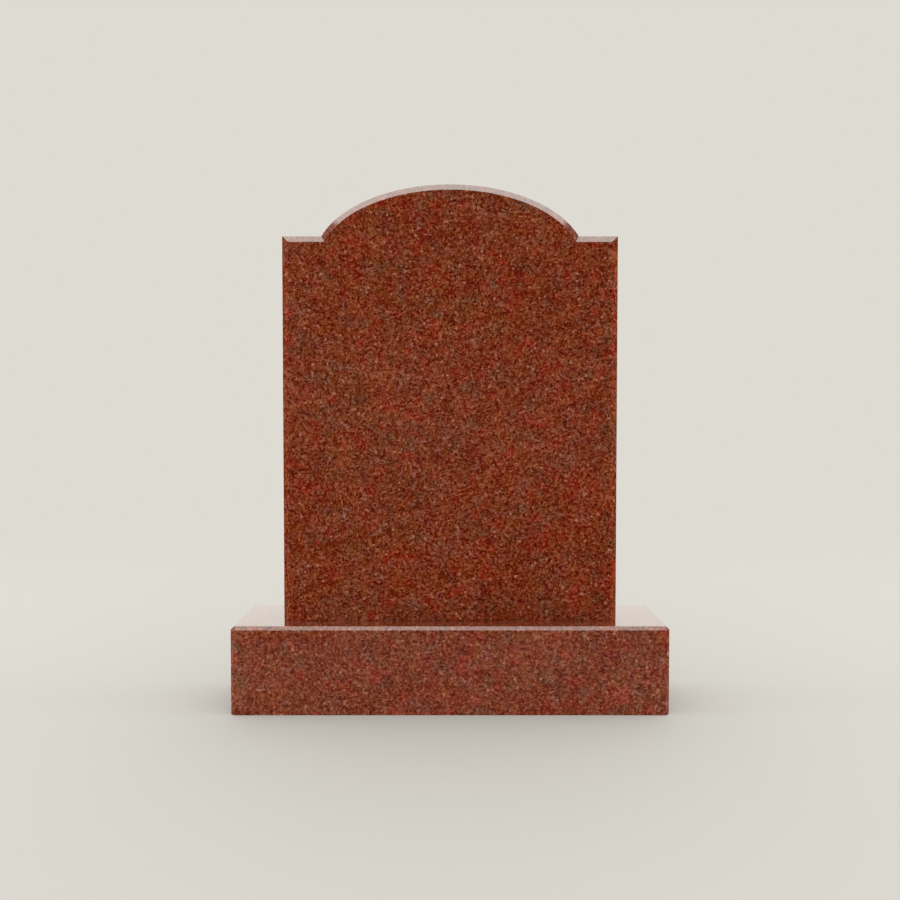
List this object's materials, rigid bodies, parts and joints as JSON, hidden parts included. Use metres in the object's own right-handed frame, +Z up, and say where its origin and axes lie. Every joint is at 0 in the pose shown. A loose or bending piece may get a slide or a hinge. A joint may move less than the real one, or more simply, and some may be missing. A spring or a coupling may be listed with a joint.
{
  "type": "upright headstone",
  "caption": "Upright headstone in polished red granite: a blank, arch-topped tablet with level shoulders and chamfered arrises, standing on a low chamfered base.",
  "frame": {"origin": "middle of the base's underside, where the stone meets the ground", "axes": "+Z up, -Y out of the front face, +X to the right for someone who faces the stone"},
  "size_m": [0.77, 0.2, 0.9373],
  "materials": {
    "headstone_granite": "polished",
    "base_granite": "polished"
  },
  "bodies": {
    "root": {"headstone": "headstone_granite", "base": "base_granite"}
  },
  "joints": []
}
